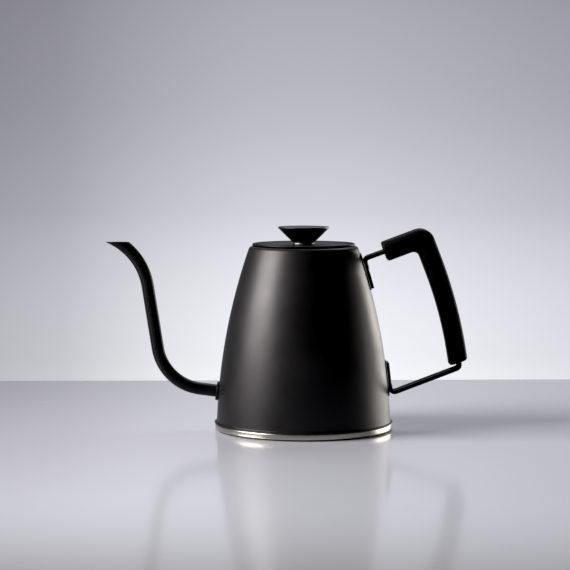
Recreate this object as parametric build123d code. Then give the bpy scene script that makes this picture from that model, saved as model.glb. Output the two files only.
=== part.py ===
from build123d import *
import os
from math import sqrt

# Gooseneck kettle, in millimetres. The origin is on the body's axis, in the plane that the
# kettle stands on. +Z is up, the spout leaves towards -X and the handle towards +X.
# Outlines are drawn as (x, z) points. A list of corners goes with a list of corner radii.

# Body: the wall is one long arc from the base lip to the shoulder, turned about the axis
WALL_ARC_CENTRE = (-419.2, -10.1)
WALL_ARC_RADIUS = 491.5
SHEET = 0.8
LIP_RADIUS = 73.9
LIP_TOP = 6.9
SHOULDER_TOP = 152.5
SHOULDER_RADIUS = 4.0
MOUTH_RADIUS = 38.5
MOUTH_ROLL = 1.2
NECK_BOTTOM = 146.5

# Base: a bare steel pan with a band round its rim, a heat spreader, and the cap below it
BAND_RADIUS = 73.4
BAND_TOP = 5.8
BAND_BOTTOM = 1.3
CAP_RADIUS = 72.4
CAP_SHEET = 0.8
CAP_CORNER = 1.2
SPREADER_RADIUS = 71.4

# Spout: a bent tube with a level cut at its tip, and the collar that covers its joint
SPOUT_CORNERS = [(-68.9, 31.7), (-116.1, 37.9), (-134.8, 157.5), (-176.0, 164.1)]
SPOUT_BENDS = [40.5, 53.4]
SPOUT_RADIUS = 5.15
SPOUT_BORE_RADIUS = 4.35
SPOUT_TIP_Z = 155.8
SPOUT_ROOT_LENGTH = 20.0
COLLAR_RADIUS = 7.85
COLLAR_PROUD = 2.0
COLLAR_EDGE = 0.6

# Handle: two bent rods side by side, with a gap between them that a probe passes through
ROD_RADIUS = 1.9
ROD_SPACING = 8.6
ROD_CORNERS = [(99.7, 159.75), (122.7, 99.9), (129.9, 51.4)]
TAIL_BEND = 3.5
ROD_BENDS = [TAIL_BEND, 10.0, 330.0, 3.8, TAIL_BEND]
UPPER_ARM_FOOT = (50.2, 141.73)
LOWER_ARM_FOOT = (72.5, 29.65)
TAIL_THICKNESS = 1.8
TAIL_WIDTH = 5.6
TAIL_CORNER = 1.1
UPPER_TAIL_SPAN = (117.5, 141.0)
LOWER_TAIL_SPAN = (30.4, 55.8)
ROUND_TAIL_LENGTH = 3.0
FIXING_SPAN = (20.0, 149.5)

# Saddle plates between the rods' tails and the body
PLATE_THICKNESS = 0.9
PLATE_WIDTH = 22.0
PLATE_CORNER = 3.0
UPPER_PLATE_SPAN = (116.3, 145.8)
LOWER_PLATE_SPAN = (28.3, 57.2)

# Grip: two moulded halves, closed over the rods and held by screws from the right side
GRIP_OUTLINE = [(63.7, 155.3), (103.5, 170.2), (129.5, 102.7), (135.9, 58.1),
                (120.9, 53.0), (114.0, 96.7), (93.9, 148.9), (69.5, 139.7)]
GRIP_CORNER_RADII = [0.0, 12.3, 385.0, 0.0, 0.0, 330.0, 5.6, 0.0]
GRIP_WIDTH = 20.0
GRIP_EDGE = 5.5
GRIP_END_EDGE = 2.2
GRIP_SCREW_SPOTS = [(78.5, 147.2), (113.1, 106.0), (122.6, 63.9)]
SCREW_SHANK_RADIUS = 1.25
SCREW_HEAD_RADIUS = 2.5
SCREW_HEAD_DEPTH = 1.8
SCREW_SOCKET_RADIUS = 1.0
SCREW_SOCKET_DEPTH = 1.0
SCREW_SINK = 3.4
SCREW_REACH = -5.5

# Lid: a dished cover, a skirt that guides it in the mouth, and the knob with its fixings
LID_RADIUS = 42.5
LID_UNDERSIDE = 152.8
DISH_TOP = 153.6
RIM_TOP = 154.6
RIM_INNER_RADIUS = 40.2
RIM_SLOPE = 1.0
RIM_EDGE = 0.5
SKIRT_RADIUS = 37.9
SKIRT_BOTTOM = 139.8
SKIRT_FLANGE_RADIUS = 29.0
VENT_RADIUS = 1.5
VENT_PLACE = -27.0
WASHER_RADIUS = 9.2
KNOB_FOOT_Z = 155.2
KNOB_FOOT_RADIUS = 8.9
KNOB_TOP_RADIUS = 21.25
KNOB_RIM_Z = 167.4
KNOB_TOP_Z = 168.3
KNOB_EDGE = 0.3
INSERT_RADIUS = 3.2
INSERT_HEIGHT = 8.0
INSERT_END = 1.0
THREAD_RADIUS = 2.0
SCREW_TIP_Z = 161.5
LOCK_WASHER_RADIUS = 3.8
LOCK_WASHER_HEIGHT = 0.9
LOCK_WASHER_SPLIT = 0.6
LOCK_WASHER_SPLIT_TILT = 25.0
KNOB_SCREW_HEAD_RADIUS = 4.0
KNOB_SCREW_HEAD_HEIGHT = 2.4
KNOB_SCREW_HEAD_EDGE = 0.8
DRIVER_SLOT_LENGTH = 5.0
DRIVER_SLOT_WIDTH = 1.0
DRIVER_SLOT_DEPTH = 1.2

AROUND = 400.0  # longer than anything here, for tools that cut right through
UNDER_WALL = 10.0  # how deep the tools that trim a piece to the wall reach behind it
SAME_PLACE = 0.01  # points closer than this to a plane are taken to lie in it


def wall_radius(z, offset=0.0):
    """Outer radius of the body at height z, with the wall moved outwards by offset."""
    return WALL_ARC_CENTRE[0] + sqrt((WALL_ARC_RADIUS + offset) ** 2 - (z - WALL_ARC_CENTRE[1]) ** 2)


def wall_arc(z_from, z_to, offset=0.0):
    middle = (z_from + z_to) / 2
    return ThreePointArc((wall_radius(z_from, offset), z_from),
                         (wall_radius(middle, offset), middle),
                         (wall_radius(z_to, offset), z_to))


def turned(*edges):
    """A closed outline, turned about the axis."""
    return revolve(Plane.XZ * make_face(Wire(list(edges))), Axis.Z)


def turned_corners(*corners):
    return turned(*Polyline(*corners, close=True).edges())


def wall_ring(inner_offset, outer_offset, span):
    """The space between two offsets of the body's wall, all the way round."""
    low, high = span
    inner = wall_arc(low, high, inner_offset)
    outer = wall_arc(low, high, outer_offset)
    return turned(inner, Line(inner @ 1, outer @ 1), outer, Line(outer @ 0, inner @ 0))


def cylinder(radius, z_low, z_high, x=0.0):
    return Pos(x, 0, (z_low + z_high) / 2) * Cylinder(radius, z_high - z_low)


def side_block(width, span, corner, y=0.0):
    """A bar along +X with rounded corners, which trims a wall ring to a plate."""
    low, high = span
    outline = Plane.YZ * Pos(y, (low + high) / 2) * RectangleRounded(width, high - low, corner)
    return extrude(outline, AROUND)


def round_bar(path, radius):
    return sweep(Plane(path @ 0, z_dir=path % 0) * Circle(radius), path=path)


def shoulder(offset=0.0):
    """The arc that rounds the wall into the flat top, and the height where it leaves the wall."""
    radius = SHOULDER_RADIUS + offset
    share = SHOULDER_RADIUS / WALL_ARC_RADIUS
    start_z = (SHOULDER_TOP - SHOULDER_RADIUS - share * WALL_ARC_CENTRE[1]) / (1 - share)
    start = Vector(wall_radius(start_z), start_z)
    outward = (start - Vector(*WALL_ARC_CENTRE)).normalized()
    centre = start - outward * SHOULDER_RADIUS
    middle = (outward + Vector(0, 1)).normalized()
    leaves = centre + outward * radius
    return leaves.Y, ThreePointArc(leaves, centre + middle * radius, centre + Vector(0, radius))


def make_body_shell():
    shoulder_z, outer_shoulder = shoulder()
    inner_z, inner_shoulder = shoulder(-SHEET)
    under_top = SHOULDER_TOP - SHEET
    neck_outer = MOUTH_RADIUS + SHEET
    roll_bottom = SHOULDER_TOP - MOUTH_ROLL
    outer_wall = wall_arc(LIP_TOP, shoulder_z)
    inner_wall = wall_arc(BAND_TOP, inner_z, -SHEET)
    top_start = outer_shoulder @ 1
    under_end = inner_shoulder @ 1
    roll = JernArc((MOUTH_RADIUS + MOUTH_ROLL, SHOULDER_TOP), (-1, 0), MOUTH_ROLL, 90)
    under_roll = JernArc((neck_outer, roll_bottom), (0, 1), MOUTH_ROLL - SHEET, -90)
    shell = turned(
        Line(inner_wall @ 0, (LIP_RADIUS, BAND_TOP)),
        Line((LIP_RADIUS, BAND_TOP), (LIP_RADIUS, LIP_TOP)),
        Line((LIP_RADIUS, LIP_TOP), outer_wall @ 0),
        outer_wall,
        outer_shoulder,
        Line(top_start, roll @ 0),
        roll,
        Line(roll @ 1, (MOUTH_RADIUS, NECK_BOTTOM)),
        Line((MOUTH_RADIUS, NECK_BOTTOM), (neck_outer, NECK_BOTTOM)),
        Line((neck_outer, NECK_BOTTOM), under_roll @ 0),
        under_roll,
        Line(under_roll @ 1, (under_end.X, under_top)),
        inner_shoulder,
        inner_wall,
    )
    return shell - spout_root()


def make_base_pan():
    band_inner = BAND_RADIUS - SHEET
    floor = BAND_TOP - SHEET
    return turned_corners((0, floor), (band_inner, floor), (band_inner, BAND_BOTTOM),
                          (BAND_RADIUS, BAND_BOTTOM), (BAND_RADIUS, BAND_TOP), (0, BAND_TOP))


def make_heat_spreader():
    return cylinder(SPREADER_RADIUS, CAP_SHEET, BAND_TOP - SHEET)


def make_base_cap():
    top = BAND_TOP - SHEET
    cap = cylinder(CAP_RADIUS, 0, top)
    bottom_edge = cap.edges().group_by(Axis.Z)[0]
    cap = fillet(bottom_edge, CAP_CORNER)
    return cap - cylinder(SPREADER_RADIUS, CAP_SHEET, top)


def spout_path():
    points = [Plane.XZ.from_local_coords((x, z)) for x, z in SPOUT_CORNERS]
    return FilletPolyline(*points, radius=SPOUT_BENDS)


def spout_root():
    """The first straight stretch of the spout, as a solid bar that starts inside the body."""
    path = spout_path()
    root = Plane(path @ 0 - (path % 0) * SPOUT_ROOT_LENGTH / 2, z_dir=path % 0)
    return extrude(root * Circle(SPOUT_RADIUS), 2 * SPOUT_ROOT_LENGTH)


def make_spout_tube():
    path = spout_path()
    tube = round_bar(path, SPOUT_RADIUS) - round_bar(path, SPOUT_BORE_RADIUS)
    above = Pos(0, 0, SPOUT_TIP_Z + AROUND / 2) * Box(AROUND, AROUND, AROUND)
    return tube - above


def make_spout_collar():
    path = spout_path()
    start = path @ 0
    heading = path % 0
    wall_x = -wall_radius(start.Z)
    reach = (start.X - wall_x) + COLLAR_PROUD
    ring = extrude(Plane(start, z_dir=heading) * Circle(COLLAR_RADIUS), reach)
    outer_edge = ring.edges().filter_by(GeomType.CIRCLE).sort_by(Axis.X)[0]
    ring = fillet(outer_edge, COLLAR_EDGE)
    span = (start.Z - 2 * COLLAR_RADIUS, start.Z + 2 * COLLAR_RADIUS)
    inside_wall = wall_ring(-UNDER_WALL, 0, span)
    return ring - inside_wall - spout_root()


def rod_path(y):
    """The rod's line, from its upper tail through the grip to its lower tail."""
    upper_end = tail_point(UPPER_ARM_FOOT[1] - TAIL_BEND - ROUND_TAIL_LENGTH, y)
    lower_end = tail_point(LOWER_ARM_FOOT[1] + TAIL_BEND + ROUND_TAIL_LENGTH, y)
    corners = [upper_end, UPPER_ARM_FOOT] + ROD_CORNERS + [LOWER_ARM_FOOT, lower_end]
    points = [Vector(x, y, z) for x, z in corners]
    return FilletPolyline(*points, radius=ROD_BENDS)


def tail_point(z, y):
    radius = wall_radius(z, PLATE_THICKNESS + TAIL_THICKNESS / 2)
    return sqrt(radius ** 2 - y ** 2), z


def make_handle_rod(y):
    rod = round_bar(rod_path(y), ROD_RADIUS)
    under_rod = wall_ring(-UNDER_WALL, PLATE_THICKNESS, FIXING_SPAN)
    tails = wall_ring(PLATE_THICKNESS, PLATE_THICKNESS + TAIL_THICKNESS, FIXING_SPAN)
    upper_tail = tails & side_block(TAIL_WIDTH, UPPER_TAIL_SPAN, TAIL_CORNER, y)
    lower_tail = tails & side_block(TAIL_WIDTH, LOWER_TAIL_SPAN, TAIL_CORNER, y)
    return (rod - under_rod) + upper_tail + lower_tail


def make_saddle_plate(span):
    low, high = span
    sheet = wall_ring(0, PLATE_THICKNESS, (low - PLATE_CORNER, high + PLATE_CORNER))
    return sheet & side_block(PLATE_WIDTH, span, PLATE_CORNER)


def grip_blank():
    """The whole grip before it is parted, with its long edges rounded first and its ends after."""
    points = [Plane.XZ.from_local_coords((x, z)) for x, z in GRIP_OUTLINE]
    outline = FilletPolyline(*points, radius=GRIP_CORNER_RADII, close=True)
    blank = extrude(make_face(outline), GRIP_WIDTH / 2, dir=(0, 1, 0), both=True)
    left_side = blank.faces().sort_by(Axis.Y)[0]
    right_side = blank.faces().sort_by(Axis.Y)[-1]
    long_edges = [edge for edge in left_side.edges() + right_side.edges() if not is_grip_end(edge)]
    blank = fillet(long_edges, GRIP_EDGE)
    end_edges = [edge for edge in blank.edges() if is_grip_end(edge)]
    return fillet(end_edges, GRIP_END_EDGE)


def is_grip_end(edge):
    """True for an edge that lies in one of the grip's two flat end faces."""
    upper_end = Plane.XZ.from_local_coords(GRIP_OUTLINE[0]), Plane.XZ.from_local_coords(GRIP_OUTLINE[7])
    lower_end = Plane.XZ.from_local_coords(GRIP_OUTLINE[3]), Plane.XZ.from_local_coords(GRIP_OUTLINE[4])
    for start, end in (upper_end, lower_end):
        across = Vector(end) - Vector(start)
        out = across.cross(Vector(0, 1, 0)).normalized()
        spots = (edge @ 0, edge @ 0.5, edge @ 1)
        if all(abs((spot - Vector(start)).dot(out)) < SAME_PLACE for spot in spots):
            return True
    return False


def grip_screws(radius, depth_low, depth_high):
    """One bar across the grip at each screw, between two places along Y."""
    bars = Part()
    for x, z in GRIP_SCREW_SPOTS:
        start = Plane((x, depth_low, z), z_dir=(0, 1, 0))
        bars += extrude(start * Circle(radius), depth_high - depth_low)
    return bars


def make_grip_half(side):
    """side is -1 for the left half and 1 for the right half."""
    half_space = Pos(0, side * AROUND / 2, 0) * Box(2 * AROUND, AROUND, 2 * AROUND)
    half = grip_blank() & half_space
    half -= round_bar(rod_path(side * ROD_SPACING / 2), ROD_RADIUS)
    head_seat = GRIP_WIDTH / 2 - SCREW_SINK
    half -= grip_screws(SCREW_SHANK_RADIUS, SCREW_REACH, head_seat)
    half -= grip_screws(SCREW_HEAD_RADIUS, head_seat - SCREW_HEAD_DEPTH, GRIP_WIDTH)
    return half


def make_grip_screws():
    head_seat = GRIP_WIDTH / 2 - SCREW_SINK
    shanks = grip_screws(SCREW_SHANK_RADIUS, SCREW_REACH, head_seat)
    heads = grip_screws(SCREW_HEAD_RADIUS, head_seat - SCREW_HEAD_DEPTH, head_seat)
    sockets = grip_screws(SCREW_SOCKET_RADIUS, head_seat - SCREW_SOCKET_DEPTH, head_seat)
    return shanks + heads - sockets


def make_lid_cover():
    cover = turned_corners((0, LID_UNDERSIDE), (LID_RADIUS, LID_UNDERSIDE), (LID_RADIUS, RIM_TOP),
                           (RIM_INNER_RADIUS + RIM_SLOPE, RIM_TOP), (RIM_INNER_RADIUS, DISH_TOP),
                           (0, DISH_TOP))
    rim_edges = cover.edges().filter_by(GeomType.CIRCLE).group_by(Axis.Z)[-1]
    cover = fillet(rim_edges, RIM_EDGE)
    screw_hole = cylinder(THREAD_RADIUS, LID_UNDERSIDE, DISH_TOP)
    vent = cylinder(VENT_RADIUS, LID_UNDERSIDE, DISH_TOP, VENT_PLACE)
    return cover - screw_hole - vent


def make_lid_skirt():
    inner = SKIRT_RADIUS - SHEET
    flange_under = LID_UNDERSIDE - SHEET
    return turned_corners((SKIRT_RADIUS, SKIRT_BOTTOM), (SKIRT_RADIUS, LID_UNDERSIDE),
                          (SKIRT_FLANGE_RADIUS, LID_UNDERSIDE), (SKIRT_FLANGE_RADIUS, flange_under),
                          (inner, flange_under), (inner, SKIRT_BOTTOM))


def make_knob_washer():
    return cylinder(WASHER_RADIUS, DISH_TOP, KNOB_FOOT_Z) - cylinder(THREAD_RADIUS, DISH_TOP, KNOB_FOOT_Z)


def make_lid_knob():
    knob = turned_corners((0, KNOB_FOOT_Z), (KNOB_FOOT_RADIUS, KNOB_FOOT_Z), (KNOB_TOP_RADIUS, KNOB_RIM_Z),
                          (KNOB_TOP_RADIUS, KNOB_TOP_Z), (0, KNOB_TOP_Z))
    rim_edges = knob.edges().filter_by(GeomType.CIRCLE).group_by(Axis.Z)[-1]
    knob = fillet(rim_edges, KNOB_EDGE)
    insert_space = cylinder(INSERT_RADIUS, KNOB_FOOT_Z, KNOB_FOOT_Z + INSERT_HEIGHT)
    return knob - insert_space


def make_knob_insert():
    insert = cylinder(INSERT_RADIUS, KNOB_FOOT_Z, KNOB_FOOT_Z + INSERT_HEIGHT)
    return insert - cylinder(THREAD_RADIUS, KNOB_FOOT_Z, KNOB_FOOT_Z + INSERT_HEIGHT - INSERT_END)


def make_knob_screw():
    head_top = LID_UNDERSIDE - LOCK_WASHER_HEIGHT
    head_bottom = head_top - KNOB_SCREW_HEAD_HEIGHT
    head = cylinder(KNOB_SCREW_HEAD_RADIUS, head_bottom, head_top)
    head = fillet(head.edges().group_by(Axis.Z)[0], KNOB_SCREW_HEAD_EDGE)
    slot_middle = Pos(0, 0, head_bottom + DRIVER_SLOT_DEPTH / 2)
    slot = slot_middle * Box(DRIVER_SLOT_LENGTH, DRIVER_SLOT_WIDTH, DRIVER_SLOT_DEPTH)
    cross = slot + Rot(0, 0, 90) * slot
    return head + cylinder(THREAD_RADIUS, head_top, SCREW_TIP_Z) - cross


def make_lock_washer():
    low = LID_UNDERSIDE - LOCK_WASHER_HEIGHT
    ring = cylinder(LOCK_WASHER_RADIUS, low, LID_UNDERSIDE) - cylinder(THREAD_RADIUS, low, LID_UNDERSIDE)
    tilted = Pos(LOCK_WASHER_RADIUS, 0, low) * Rot(LOCK_WASHER_SPLIT_TILT, 0, 0)
    split = tilted * Box(LOCK_WASHER_RADIUS, LOCK_WASHER_SPLIT, LOCK_WASHER_RADIUS)
    return ring - split


def make_parts():
    return {
        "body_shell": make_body_shell(),
        "base_pan": make_base_pan(),
        "heat_spreader": make_heat_spreader(),
        "base_cap": make_base_cap(),
        "spout_tube": make_spout_tube(),
        "spout_collar": make_spout_collar(),
        "upper_bracket": make_saddle_plate(UPPER_PLATE_SPAN),
        "lower_bracket": make_saddle_plate(LOWER_PLATE_SPAN),
        "handle_rod_left": make_handle_rod(-ROD_SPACING / 2),
        "handle_rod_right": make_handle_rod(ROD_SPACING / 2),
        "grip_half_left": make_grip_half(-1),
        "grip_half_right": make_grip_half(1),
        "grip_screws": make_grip_screws(),
        "lid_cover": make_lid_cover(),
        "lid_skirt": make_lid_skirt(),
        "knob_washer": make_knob_washer(),
        "lid_knob": make_lid_knob(),
        "knob_insert": make_knob_insert(),
        "knob_screw": make_knob_screw(),
        "knob_lock_washer": make_lock_washer(),
    }


os.makedirs("parts", exist_ok=True)
for name, solid in make_parts().items():
    export_step(solid, f"parts/{name}.step")
    print(name, round(solid.volume), "mm3,", len(solid.solids()), "solid(s)")
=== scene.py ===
# %% [markdown]
# # A gooseneck kettle
# This lesson builds the visible model of a stovetop kettle round a frame that already has the
# right sizes. The frame comes first, because every piece takes its place from it. Nothing in
# the frame is moved. We only give its pieces finishes, or hide one and model a finer one.

# %% Load the frame
from math import asin, atan2, copysign, cos, degrees, hypot, pi, radians, sin, sqrt, tan

import bmesh
import bpy
from mathutils import Matrix, Vector


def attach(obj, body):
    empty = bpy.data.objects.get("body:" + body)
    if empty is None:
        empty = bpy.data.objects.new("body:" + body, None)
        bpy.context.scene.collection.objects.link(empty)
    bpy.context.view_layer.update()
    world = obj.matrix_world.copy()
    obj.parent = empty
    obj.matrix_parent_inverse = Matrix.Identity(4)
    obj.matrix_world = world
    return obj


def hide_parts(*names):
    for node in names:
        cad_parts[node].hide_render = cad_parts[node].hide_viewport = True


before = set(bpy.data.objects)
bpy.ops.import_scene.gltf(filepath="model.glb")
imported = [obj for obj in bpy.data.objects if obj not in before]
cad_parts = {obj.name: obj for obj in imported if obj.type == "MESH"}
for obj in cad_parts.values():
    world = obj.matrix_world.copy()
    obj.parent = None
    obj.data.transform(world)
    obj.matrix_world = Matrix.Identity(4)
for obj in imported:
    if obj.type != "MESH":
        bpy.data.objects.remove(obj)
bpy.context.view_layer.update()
MM = 0.001

# %% [markdown]
# ## The camera
# A long, low object looks best from far away through a long lens, so that the kettle's round
# base stays nearly flat and nothing looks swollen. We place the camera by the point that it
# looks at, its distance, and two small angles. The plain view transform keeps the colours as
# they are set, without a film curve. The black level is a hair above zero, so that the darkest
# reflections in the black parts close up to a full black.

# %% Place the camera
LOOK_AT = Vector((-0.0154, 0.0, 0.1200))
CAMERA_DISTANCE = 1.73
CAMERA_AZIMUTH = radians(-1.3)
CAMERA_RISE = radians(4.3)
LENS = 132.0
BLACK_LEVEL = 0.004

level = CAMERA_DISTANCE * cos(CAMERA_RISE)
camera_place = LOOK_AT + Vector((level * sin(CAMERA_AZIMUTH), -level * cos(CAMERA_AZIMUTH),
                                 CAMERA_DISTANCE * sin(CAMERA_RISE)))
bpy.ops.object.camera_add(location=camera_place)
camera = bpy.context.object
camera.name = "camera"
camera.rotation_euler = (LOOK_AT - camera_place).to_track_quat("-Z", "Y").to_euler()
camera.data.lens = LENS
bpy.context.scene.camera = camera

view_settings = bpy.context.scene.view_settings
view_settings.view_transform = "Standard"
view_settings.use_curve_mapping = True
view_settings.curve_mapping.black_level = (BLACK_LEVEL, BLACK_LEVEL, BLACK_LEVEL)
view_settings.curve_mapping.update()
print("camera stands at, mm:", [round(value / MM) for value in camera_place])

# %% [markdown]
# ## Small helpers for materials
# A material is a little network of nodes. These two helpers add a node with its values and
# join two sockets, so that the cells below read as a list of what each finish is made of.


# %% Node helpers
def put(tree, kind, **values):
    """Adds a node, sets its options by name, and its input values by socket name."""
    node = tree.nodes.new(kind)
    for name, value in values.items():
        if hasattr(node, name):
            setattr(node, name, value)
        else:
            node.inputs[name.replace("_", " ")].default_value = value
    return node


def join(tree, source, source_socket, target, target_socket):
    tree.links.new(source.outputs[source_socket], target.inputs[target_socket])


def new_group(name, inputs, outputs):
    """A shader node group with float sockets, and the nodes that stand for its two ends."""
    group = bpy.data.node_groups.new(name, "ShaderNodeTree")
    for socket, value in inputs.items():
        made = group.interface.new_socket(socket, in_out="INPUT", socket_type="NodeSocketFloat")
        made.default_value = value
    for socket in outputs:
        group.interface.new_socket(socket, in_out="OUTPUT", socket_type="NodeSocketFloat")
    return group, group.nodes.new("NodeGroupInput"), group.nodes.new("NodeGroupOutput")


# %% [markdown]
# ## Three effects that the finishes share
# A powder coating is a skin of tiny melted grains, and hands leave faint soft patches on it.
# Steel that was turned or spun has fine lines that run round its axis. An edge is made a little
# brighter, partly as wear and partly as a painted highlight on the rims. Each effect is a group,
# built once, that puts out numbers which change over the surface. All of them use the object's
# own metres, so a grain has a real size.

# %% The grain of a coating
COATING = {"Scale": 3300.0, "Rough Low": 0.36, "Rough High": 0.48}
GRAIN_SHARE = 0.35

grain_group, ends_in, ends_out = new_group("coating grain", COATING, ["Height", "Roughness"])
place = put(grain_group, "ShaderNodeTexCoord")
grain = put(grain_group, "ShaderNodeTexNoise", Detail=2.0, Roughness=0.6)
join(grain_group, place, "Object", grain, "Vector")
join(grain_group, ends_in, "Scale", grain, "Scale")
join(grain_group, grain, "Fac", ends_out, "Height")
patches = put(grain_group, "ShaderNodeTexNoise", Scale=28.0, Detail=5.0, Roughness=0.65)
join(grain_group, place, "Object", patches, "Vector")
both = put(grain_group, "ShaderNodeMath", operation="MULTIPLY_ADD")
join(grain_group, grain, "Fac", both, 0)
both.inputs[1].default_value = GRAIN_SHARE
join(grain_group, patches, "Fac", both, 2)
spread = put(grain_group, "ShaderNodeMapRange", From_Min=0.45, From_Max=0.9)
join(grain_group, both, "Value", spread, "Value")
join(grain_group, ends_in, "Rough Low", spread, "To Min")
join(grain_group, ends_in, "Rough High", spread, "To Max")
join(grain_group, spread, "Result", ends_out, "Roughness")

# %% The lines of turned steel
TURNED = {"Lines": 4000.0, "Rough Low": 0.22, "Rough High": 0.36}
DRIFT_ALONG_LINE = 0.006

turned_group, ends_in, ends_out = new_group("turned lines", TURNED, ["Height", "Roughness"])
place = put(turned_group, "ShaderNodeTexCoord")
apart = put(turned_group, "ShaderNodeSeparateXYZ")
join(turned_group, place, "Object", apart, "Vector")
flat = put(turned_group, "ShaderNodeCombineXYZ")
join(turned_group, apart, "X", flat, "X")
join(turned_group, apart, "Y", flat, "Y")
radius_from_axis = put(turned_group, "ShaderNodeVectorMath", operation="LENGTH")
join(turned_group, flat, "Vector", radius_from_axis, 0)
stretched = put(turned_group, "ShaderNodeCombineXYZ")
join(turned_group, radius_from_axis, "Value", stretched, "X")
join(turned_group, apart, "Z", stretched, "Z")
across = put(turned_group, "ShaderNodeMath", operation="MULTIPLY")
join(turned_group, apart, "X", across, 0)
across.inputs[1].default_value = DRIFT_ALONG_LINE
join(turned_group, across, "Value", stretched, "Y")
lines = put(turned_group, "ShaderNodeTexNoise", Detail=3.0, Roughness=0.7)
join(turned_group, stretched, "Vector", lines, "Vector")
join(turned_group, ends_in, "Lines", lines, "Scale")
join(turned_group, lines, "Fac", ends_out, "Height")
spread = put(turned_group, "ShaderNodeMapRange", From_Min=0.3, From_Max=0.7)
join(turned_group, lines, "Fac", spread, "Value")
join(turned_group, ends_in, "Rough Low", spread, "To Min")
join(turned_group, ends_in, "Rough High", spread, "To Max")
join(turned_group, spread, "Result", ends_out, "Roughness")

# %% Wear and a painted highlight on the edges
edge_wear_and_sheen_group, ends_in, ends_out = new_group("edge wear and sheen", {"Start": 0.53, "Full": 0.62}, ["Mask"])
shape = put(edge_wear_and_sheen_group, "ShaderNodeNewGeometry")
place = put(edge_wear_and_sheen_group, "ShaderNodeTexCoord")
broken = put(edge_wear_and_sheen_group, "ShaderNodeTexNoise", Scale=420.0, Detail=4.0, Roughness=0.7)
join(edge_wear_and_sheen_group, place, "Object", broken, "Vector")
edges = put(edge_wear_and_sheen_group, "ShaderNodeMapRange")
join(edge_wear_and_sheen_group, shape, "Pointiness", edges, "Value")
join(edge_wear_and_sheen_group, ends_in, "Start", edges, "From Min")
join(edge_wear_and_sheen_group, ends_in, "Full", edges, "From Max")
# Sharp edges get a lighter colour, as wear and as a painted highlight on the rims.
worn_and_sheen = put(edge_wear_and_sheen_group, "ShaderNodeMath", operation="MULTIPLY")
join(edge_wear_and_sheen_group, edges, "Result", worn_and_sheen, 0)
join(edge_wear_and_sheen_group, broken, "Fac", worn_and_sheen, 1)
join(edge_wear_and_sheen_group, worn_and_sheen, "Value", ends_out, "Mask")
print("shared groups:", [group.name for group in bpy.data.node_groups])

# %% [markdown]
# ## The finishes
# The kettle is nearly all black, so its finishes differ by how they shine and not by colour.
# The body has a satin powder coating, the grip a duller moulded resin and the knob a slightly
# shinier one. The lid, the spout and the handle's metal have the body's coating with less
# shine. The band at the foot is bare satin steel, and the washer under the knob is darker.
# Every finish starts from the same helper, which mixes two close colours by the edge mask, the
# lighter one on the edges as wear and as a painted highlight, and takes its roughness and its
# fine relief from one of the groups.


# %% Make the finishes
def finish(name, colour, worn_and_sheen_colour, effect, effect_values, relief, relief_depth, **shader_values):
    """A material from two colours, one shared effect with its values, and a relief in mm."""
    material = bpy.data.materials.new(name)
    material.use_nodes = True
    tree = material.node_tree
    shader = tree.nodes["Principled BSDF"]
    for socket, value in shader_values.items():
        shader.inputs[socket.replace("_", " ")].default_value = value
    surface = put(tree, "ShaderNodeGroup", node_tree=effect)
    for socket, value in effect_values.items():
        surface.inputs[socket].default_value = value
    join(tree, surface, "Roughness", shader, "Roughness")
    bump = put(tree, "ShaderNodeBump", Strength=relief, Distance=relief_depth * MM)
    join(tree, surface, "Height", bump, "Height")
    join(tree, bump, "Normal", shader, "Normal")
    # The edge mask puts the lighter colour on the edges, as wear and as a painted highlight.
    wear = put(tree, "ShaderNodeGroup", node_tree=edge_wear_and_sheen_group)
    mix = put(tree, "ShaderNodeMix", data_type="RGBA")
    colour_inputs = [socket for socket in mix.inputs if socket.type == "RGBA"]
    for socket, value in zip(colour_inputs, (colour, worn_and_sheen_colour)):
        socket.default_value = (*value, 1.0)
    join(tree, wear, "Mask", mix, "Factor")
    mixed = next(socket for socket in mix.outputs if socket.type == "RGBA")
    tree.links.new(mixed, shader.inputs["Base Color"])
    return material


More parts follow.
